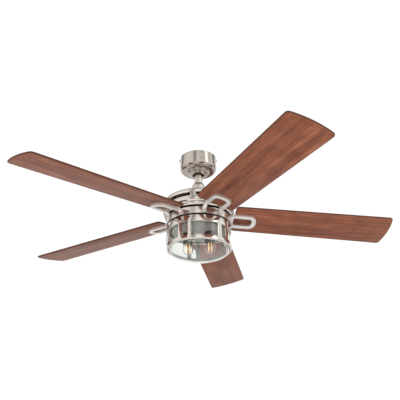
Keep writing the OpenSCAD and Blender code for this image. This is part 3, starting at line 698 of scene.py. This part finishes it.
def high_leg():
    outer, inner = 0.2 - LOOP_HALF, -0.2 - SLOT_HALF
    return [foot_ring(HIGH_FOOT, -1, FOOT_W, FOOT_IN, BAND_LOW, FOOT_OUT, BAND_LOW),
            foot_ring(HIGH_FOOT, -1, FOOT_W, FOOT_IN, FOOT_TOP, FOOT_OUT, FOOT_TOP),
            foot_ring(HIGH_FOOT, -1, 12.5, FOOT_IN, -15.8, FOOT_OUT + 0.5, -23),
            foot_ring(HIGH_FOOT + 1.4, -1, 13.4, 114.6, -9.9, 121.0, -14.6),
            bar_ring((117.3, outer), (117.3, inner), 7.7)]


def low_leg():
    outer, inner = LOOP_HALF - 0.2, SLOT_HALF + 0.2
    return [foot_ring(LOW_FOOT, 1, FOOT_W, FOOT_IN, BAND_LOW, FOOT_OUT, BAND_LOW),
            foot_ring(LOW_FOOT, 1, FOOT_W, FOOT_IN, FOOT_TOP, FOOT_OUT, FOOT_TOP),
            foot_ring(LOW_FOOT, 1, 12.5, FOOT_IN, -18, FOOT_OUT + 0.5, -25),
            bar_ring((114.4, outer), (114.4, inner), 6.1)]


def loop_side(half, end, corner):
    """Half of a rounded outline, from the root to the middle of its outer end, on the -Y side."""
    return [(LOOP_ROOT, -half)] + arc(end - corner, corner - half, corner, -90, 0, LOOP_STEPS)


def bracket_rings():
    """The bar's rings, from the high foot round the open loop to the low foot."""
    outer = loop_side(LOOP_HALF, LOOP_END, LOOP_CORNER)
    inner = loop_side(SLOT_HALF, SLOT_END, SLOT_CORNER)
    near = list(zip(outer, inner))
    far = [((xo, -yo), (xi, -yi)) for (xo, yo), (xi, yi) in reversed(near)]
    return high_leg() + [bar_ring(o, i) for o, i in near + far] + low_leg()[::-1]


def bar_section(width, height):
    """Section of a bar with eased edges and a chamfer on its inner lower edge, as fractions of its size."""
    ease = 0.3 * min(1.1, height * 0.3)
    chamfer, drop = min(1.6, width * 0.2), min(1.6, height * 0.3)
    points = [(0.9, 0), (ease, ease), (0, 0.9), (0, height - 0.5), (0.5, height), (width - 0.5, height),
              (width, height - 0.5), (width, drop), (width - chamfer, 0)]
    return [(u / width, v / height) for u, v in points]


def make_bracket(i):
    rings = bracket_rings()
    verts = []
    for out_low, in_low, in_high, out_high in rings:
        section = bar_section((in_low - out_low).length, (out_high - out_low).length)
        for u, v in section:
            low, high = out_low * (1 - u) + in_low * u, out_high * (1 - u) + in_high * u
            verts.append((low * (1 - v) + high * v) * MM)
    name = f"bracket_{i + 1}"
    mesh = new_mesh(name, verts, capped_faces(len(rings), len(section)))
    obj = finish_mesh(name, mesh, cast, "rotor", [f"blade_{name}"], 30, blade_turn(i))
    bevelled(obj, 0.5, 2, 25)


def blade_outline():
    """The blade's outline: a straight root, straight sides and a curved tip, all with rounded corners."""
    root_h, tip_h, c = ROOT_W / 2, TIP_W / 2, BLADE_CORNER
    tip_r = (tip_h * tip_h + TIP_SAGITTA * TIP_SAGITTA) / (2 * TIP_SAGITTA)
    tip_x = TIP_R - tip_r
    corner_y = tip_h - c
    corner_x = tip_x + math.sqrt((tip_r - c) ** 2 - corner_y ** 2)
    corner_a = math.degrees(math.atan2(corner_y, corner_x - tip_x))
    return (arc(ROOT_R + c, c - root_h, c, 180, 270, 8)
            + arc(corner_x, -corner_y, c, 270, 360 - corner_a, 8)
            + arc(tip_x, 0, tip_r, -corner_a * 0.92, corner_a * 0.92, 20)
            + arc(corner_x, corner_y, c, corner_a, 90, 8)
            + arc(ROOT_R + c, root_h - c, c, 90, 180, 8))


def make_blade(i):
    outline = [Vector(p) for p in blade_outline()]
    n = len(outline)
    inwards = []
    for k in range(n):
        before, at, after = (outline[(k + d) % n] for d in (-1, 0, 1))
        run = ((at - before).normalized() + (after - at).normalized()).normalized()
        inwards.append(Vector((-run.y, run.x)))
    half, edge = BLADE_T / 2, BLADE_EDGE
    rings = [(edge, -half), (edge * 0.25, -half + edge * 0.3), (0.0, -half + edge),
             (0.0, half - edge), (edge * 0.25, half - edge * 0.3), (edge, half)]
    verts = [Vector((*(p + inwards[k] * inset), z)) * MM for inset, z in rings
             for k, p in enumerate(outline)]
    name = f"blade_panel_{i + 1}"
    place = blade_turn(i) @ TILT
    veneer = walnut(f"walnut_{i + 1}", 11 + i, place)
    mesh = new_mesh(name, verts, capped_faces(len(rings), n))
    obj = finish_mesh(name, mesh, [veneer, edge_band], "rotor", [f"blade_{i + 1}"],
                      50, place)
    for poly in obj.data.polygons:
        is_face = len(poly.vertices) > 8
        poly.material_index = 0 if is_face else 1


def make_blade_screws():
    parts = []
    for i in range(BLADE_COUNT):
        place = blade_turn(i) @ TILT
        up = place.to_3x3() @ Vector((0, 0, 1))
        for x, y in BLADE_SCREWS:
            top = place @ (Vector((x, y, BLADE_T / 2 + 0.05)) * MM)
            low = place @ (Vector((x, y, -BLADE_T / 2 - 5)) * MM)
            parts.append(screw_head(top, up, 0.005, 0.0026))
            parts.append(pin(low, top, 0.0024))
    merged("blade_screw_set", parts, polished, "rotor", ["blade_screws"])


# ---------------------------------------------------------------- shade and fitter

CAGE_R, CAGE_WALL, CAGE_BEND = 107.6, 1.6, 5
CAGE_TOP, WINDOW_TOP, WINDOW_LOW, CAGE_LOW = -42.4, -63.6, -110.4, -124.4
PAIR_AZIMUTH, BAR_HALF_STEP, BAR_HALF = -115.8, 8.65, 4.0
GLASS_R, GLASS_T, GLASS_CORNER = 99.5, 3.0, 18
SOLE_R, SOLE_FROM, SIDE_LOW = 120, -66, -120
LUG_COUNT, LUG_HALF = 3, 15


def cage_azimuths():
    """Azimuths of the cage's upright edges: both sides of every bar, and steps of about 2 degrees between."""
    near, far = BAR_HALF_STEP - BAR_HALF, BAR_HALF_STEP + BAR_HALF
    stops = [-far, -near, near, far, BLADE_STEP - far]
    azimuths = set()
    for k in range(BLADE_COUNT):
        centre = PAIR_AZIMUTH + k * BLADE_STEP
        for a, b in zip(stops[:-1], stops[1:]):
            n = max(2, round((b - a) / 2))
            azimuths |= {round((centre + a + (b - a) * j / n) % 360, 4) for j in range(n)}
    return sorted(azimuths)


def is_bar(azimuth):
    from_pair = abs(((azimuth - PAIR_AZIMUTH) % BLADE_STEP + BLADE_STEP / 2) % BLADE_STEP - BLADE_STEP / 2)
    return abs(from_pair - BAR_HALF_STEP) < BAR_HALF


def make_cage():
    profile = ([(CAGE_R - 5.0, CAGE_TOP), (CAGE_R - 1.3, CAGE_TOP), (CAGE_R - 0.4, CAGE_TOP - 0.35),
                (CAGE_R, CAGE_TOP - 1.2), (CAGE_R, WINDOW_TOP + 6.4), (CAGE_R, WINDOW_TOP),
                (CAGE_R, (WINDOW_TOP + WINDOW_LOW) / 2), (CAGE_R, WINDOW_LOW)]
               + arc(CAGE_R - CAGE_BEND, CAGE_LOW + CAGE_BEND, CAGE_BEND, 0, -90, 8)
               + [(101.2, CAGE_LOW)])
    azimuths = cage_azimuths()
    cols = len(azimuths)
    verts = [polar(r, a, z) for r, z in profile for a in azimuths]
    faces = []
    for i in range(len(profile) - 1):
        window = profile[i][1] <= WINDOW_TOP + 0.01 and profile[i + 1][1] >= WINDOW_LOW - 0.01
        for j in range(cols):
            k = (j + 1) % cols
            middle = azimuths[j] + ((azimuths[k] - azimuths[j]) % 360) / 2
            if not window or is_bar(middle):
                faces.append((i * cols + j, i * cols + k, (i + 1) * cols + k, (i + 1) * cols + j))
    obj = finish_mesh("cage", new_mesh("cage", verts, faces), polished, "shade", ["shade_cage"],
                      40)
    m = obj.modifiers.new("wall", "SOLIDIFY")
    m.thickness = CAGE_WALL * MM
    m.offset = -1
    m.use_even_offset = True
    baked(obj)
    bevelled(obj, 0.45, 2, 50)
    ledge = [(100.7, WINDOW_TOP), (106.3, WINDOW_TOP), (106.3, WINDOW_TOP + 1.5), (100.7, WINDOW_TOP + 1.5)]
    lathe("cage_ledge", ledge, polished, "shade", (), 0.4)


def make_bowl():
    """The glass drum: a turned-out rim, a straight side, a round corner and a shallow round sole."""
    bend = math.radians(90 + SOLE_FROM)
    corner_x = GLASS_R - GLASS_CORNER
    sole_x = corner_x + (GLASS_CORNER - SOLE_R) * math.sin(bend)
    sole_z = SIDE_LOW + (SOLE_R - GLASS_CORNER) * math.cos(bend)
    inner_sole, inner_corner = SOLE_R - GLASS_T, GLASS_CORNER - GLASS_T
    rim_r, rim_low, rim_top = 103.5, -62.05, -59.6
    profile = ([(rim_r, rim_low), (GLASS_R, rim_low)]
               + arc(corner_x, SIDE_LOW, GLASS_CORNER, 0, SOLE_FROM, 16)
               + arc(sole_x, sole_z, SOLE_R, SOLE_FROM, -90, 14)[1:-1]
               + [(0, sole_z - SOLE_R), (0, sole_z - inner_sole)]
               + arc(sole_x, sole_z, inner_sole, -90, SOLE_FROM, 14)[1:-1]
               + arc(corner_x, SIDE_LOW, inner_corner, SOLE_FROM, 0, 16)
               + [(GLASS_R - GLASS_T, rim_top), (rim_r, rim_top)])
    lathe("shade_bowl", profile, shade_glass, "shade", ["glass_shade"], 0.6)


def lugs(r_in, r_out, z_low, z_high):
    return [curved_plate(r_in, r_out, k * 360 / LUG_COUNT, LUG_HALF, z_low, z_high, 16)
            for k in range(LUG_COUNT)]


def make_fitter():
    """The cup that holds the shade, and the bayonet lugs of both."""
    cup = [(8.6, -45), (98, -45), (98, -58), (96.5, -58), (96.5, -46.5), (8.6, -46.5)]
    # The cup and all lugs are near-black nickel: painted shade for the inside seen through the gap under the
    # band.
    lathe("fitter_cup", cup, painted_shade_nickel, "motor_body", ["light_fitter"], 0.6)
    merged("fitter_lugs", lugs(97.5, 102, -57.5, -55.8), painted_shade_nickel, "motor_body", ())
    merged("cage_lugs", lugs(99.2, 106.3, -55.5, -53.8), painted_shade_nickel, "shade", ())


# ---------------------------------------------------------------- bulbs

BULB_COUNT, BULB_OFFSET, BULB_AZIMUTH = 2, 36.0, 172.0
BULB_R, BULB_Z, BULB_WALL = 19.0, -116.5, 0.8
NECK_R, NECK_Z = 12.4, -93.1
FILAMENT_COUNT, FILAMENT_R, FILAMENT_BENDS = 4, 6.9, 6
FILAMENT_TOP, FILAMENT_LOW = -103, -131
SOCKET_R, SOCKET_TOP = 17.5, -63.6


def make_envelope(i, centre):
    inner = BULB_R - BULB_WALL
    outer_from = math.degrees(math.acos(NECK_R / BULB_R))
    inner_from = math.degrees(math.acos((NECK_R - BULB_WALL) / inner))
    profile = ([(NECK_R, NECK_Z)]
               + arc(0, BULB_Z, BULB_R, outer_from, -90, 26)[:-1]
               + [(0, BULB_Z - BULB_R), (0, BULB_Z - inner)]
               + arc(0, BULB_Z, inner, -90, inner_from, 26)[1:]
               + [(NECK_R - BULB_WALL, NECK_Z)])
    lathe(f"bulb_envelope_{i}", profile, bulb_clear, f"bulb_{i}", [f"bulb_glass_{i}"], 0.3,
          segments=96, centre=centre)


def make_socket(i, centre):
    r, top = SOCKET_R, SOCKET_TOP
    profile = [(0, top), (r, top), (r, -94), (r + 1.2, -95), (r + 1.2, -99), (r, -100), (14, -100),
               (14, -65.5), (0, -65.5)]
    lathe(f"socket_shell_{i}", profile, resin, "motor_body", [f"bulb_socket_{i}"], 0.6,
          segments=96, centre=centre)


def filament_azimuths():
    return [45 + 360 / FILAMENT_COUNT * k + BULB_AZIMUTH for k in range(FILAMENT_COUNT)]


def make_filaments(i, centre):
    """Upright filaments, each bent a little in and out."""
    parts = []
    drop = (FILAMENT_LOW - FILAMENT_TOP) / FILAMENT_BENDS
    middle = Vector((*centre, 0))
    for azimuth in filament_azimuths():
        bends = [middle + polar(FILAMENT_R - 0.8 * (t % 2), azimuth, FILAMENT_TOP + drop * t)
                 for t in range(FILAMENT_BENDS + 1)]
        parts += [pin(a, b, 0.0007, 10) for a, b in zip(bends[:-1], bends[1:])]
    merged(f"filament_rods_{i}", parts, filament_glow, f"bulb_{i}", [f"bulb_filament_{i}"])


def make_stem(i, centre):
    profile = [(0, -93.3), (4.6, -93.3), (3.6, -99), (2.2, -104), (1.2, -118), (0.9, -131), (0, -131.4)]
    lathe(f"bulb_stem_{i}", profile, bulb_clear, f"bulb_{i}", (), 0.3,
          segments=32, centre=centre)


def make_wires(i, centre):
    parts = []
    middle = Vector((*centre, 0))
    for azimuth in filament_azimuths():
        for z, stem_r in ((FILAMENT_TOP, 2.6), (FILAMENT_LOW, 0.9)):
            at_stem = middle + polar(stem_r, azimuth, z + 0.2)
            parts.append(pin(at_stem, middle + polar(FILAMENT_R, azimuth, z), 0.0003, 8))
    merged(f"bulb_wires_{i}", parts, steel, f"bulb_{i}", ())


def make_bulb(i):
    at = polar(BULB_OFFSET, BULB_AZIMUTH + 360 / BULB_COUNT * (i - 1), 0)
    for make_part in (make_envelope, make_socket, make_filaments, make_stem, make_wires):
        make_part(i, (at.x, at.y))


# ---------------------------------------------------------------- looks of the kept CAD nodes

KEPT = {
    steel: ["hanger_bracket", "ball_pin", "ball_set_screw", "motor_coupling", "clevis_pin", "cotter_pin",
            "coupling_screws", "motor_shaft", "upper_bearing", "lower_bearing", "bracket_screws",
            "fitter_nut"],
    case: ["receiver", "capacitor"],
    resin: ["hanger_ball"],
    laminations: ["stator_core", "rotor_core"],
    copper: ["stator_windings"],
    alloy: ["rotor_housing"],
    enamel: ["socket_pan"],
    brass: ["bulb_base_1", "bulb_base_2"],
}


def paint_kept_nodes():
    for material, names in KEPT.items():
        for name in names:
            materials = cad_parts[name].data.materials
            materials.clear()
            materials.append(material)


# ---------------------------------------------------------------- studio

FLOOR_Z, FLOOR_SIZE = -2.4, 40
CAMERA_WHITE = 1.05


def make_floor():
    slab = block((0, 0, FLOOR_Z - 0.05), (FLOOR_SIZE, FLOOR_SIZE, 0.1))
    floor = new_object("floor", new_mesh("floor", *slab))
    s = Shader("floor_paint")
    tone = s.ramp(s.noise(0.6, detail=2.0), [(0.3, (0.88, 0.88, 0.88)), (0.7, (0.93, 0.93, 0.93))])
    s.feed(Base_Color=tone)
    s.const(Roughness=0.7)
    floor.data.materials.append(s.material)


def round_the_horizon(tree, coords):
    """Brightness by azimuth, from the camera's side (0) by +X (0.25) and +Y (0.5): soft boxes and gaps."""
    turn = tree.nodes.new("ShaderNodeMapping")
    turn.inputs["Rotation"].default_value = (0, 0, math.radians(-90))
    tree.links.new(coords, turn.inputs["Vector"])
    radial = tree.nodes.new("ShaderNodeTexGradient")
    radial.gradient_type = "RADIAL"
    tree.links.new(turn.outputs[0], radial.inputs["Vector"])
    glare, bright, mid, dim, black = ((v, v * 0.985, v * 0.965) for v in (2.4, 1.05, 0.80, 0.36, 0.05))
    return colour_ramp(tree, radial.outputs["Fac"], [
        (0.0, bright), (0.05, mid), (0.12, mid), (0.138, glare), (0.164, glare), (0.185, mid), (0.27, bright),
        (0.31, dim), (0.335, black), (0.36, bright), (0.62, bright), (0.655, dim), (0.68, black), (0.70, mid),
        (0.80, bright), (0.90, bright), (0.935, dim), (0.95, dim), (0.975, bright)])


def up_the_sky(tree, coords):
    """Brightness by height, from straight down (0) to straight up (1): dark below, dimmer overhead."""
    height = tree.nodes.new("ShaderNodeSeparateXYZ")
    tree.links.new(coords, height.inputs[0])
    lift = tree.nodes.new("ShaderNodeMapRange")
    lift.inputs["From Min"].default_value = -1
    tree.links.new(height.outputs["Z"], lift.inputs["Value"])
    return colour_ramp(tree, lift.outputs[0], [
        (0.0, (0.13, 0.10, 0.08)), (0.10, (0.15, 0.12, 0.10)), (0.17, (0.60, 0.58, 0.56)),
        (0.23, (1.0, 1.0, 1.0)), (0.70, (1.0, 1.0, 1.0)), (0.86, (0.80, 0.80, 0.80)),
        (1.0, (0.55, 0.55, 0.55))])


def make_world():
    """A white backdrop for the camera, and a studio of soft boxes for everything else."""
    world = bpy.data.worlds.new("studio")
    bpy.context.scene.world = world
    world.use_nodes = True
    tree = world.node_tree
    tree.nodes.clear()
    white = tree.nodes.new("ShaderNodeBackground")
    white.inputs["Color"].default_value = (1, 1, 1, 1)
    white.inputs["Strength"].default_value = CAMERA_WHITE
    coords = tree.nodes.new("ShaderNodeTexCoord").outputs["Generated"]
    room = tree.nodes.new("ShaderNodeBackground")
    room.inputs["Strength"].default_value = 1.0
    shade = mixed(tree, "MULTIPLY", 1.0, round_the_horizon(tree, coords), up_the_sky(tree, coords))
    tree.links.new(shade, room.inputs["Color"])
    path = tree.nodes.new("ShaderNodeLightPath")
    mix = tree.nodes.new("ShaderNodeMixShader")
    tree.links.new(path.outputs["Is Camera Ray"], mix.inputs["Fac"])
    tree.links.new(room.outputs[0], mix.inputs[1])
    tree.links.new(white.outputs[0], mix.inputs[2])
    out = tree.nodes.new("ShaderNodeOutputWorld")
    tree.links.new(mix.outputs[0], out.inputs["Surface"])


def area_light(name, at, target, size, power):
    """A soft lamp that lights but isn't mirrored."""
    data = bpy.data.lights.new(name, "AREA")
    data.shape = "RECTANGLE"
    data.size, data.size_y = size
    data.energy = power
    lamp = new_object(name, data)
    lamp.visible_glossy = False
    lamp.location = at
    lamp.rotation_euler = (Vector(target) - Vector(at)).to_track_quat("-Z", "Y").to_euler()


# ---------------------------------------------------------------- the whole fan

make_camera()
make_canopy()
make_canopy_trim()
make_canopy_screws()
make_rod()
make_bell()
make_dome()
make_housing_band()
make_straps()
make_flywheel()
for number in range(BLADE_COUNT):
    make_bracket(number)
for number in range(BLADE_COUNT):
    make_blade(number)
make_blade_screws()
make_cage()
make_bowl()
make_fitter()
for number in range(BULB_COUNT):
    make_bulb(number + 1)
paint_kept_nodes()
make_floor()
make_world()
area_light("key", (-1.6, -2.6, -1.9), (0, 0, -0.25), (1.6, 1.6), 60)
area_light("fill", (2.2, -1.6, -1.6), (0, 0, -0.25), (1.2, 1.8), 30)
bpy.context.scene.view_settings.view_transform = "Standard"
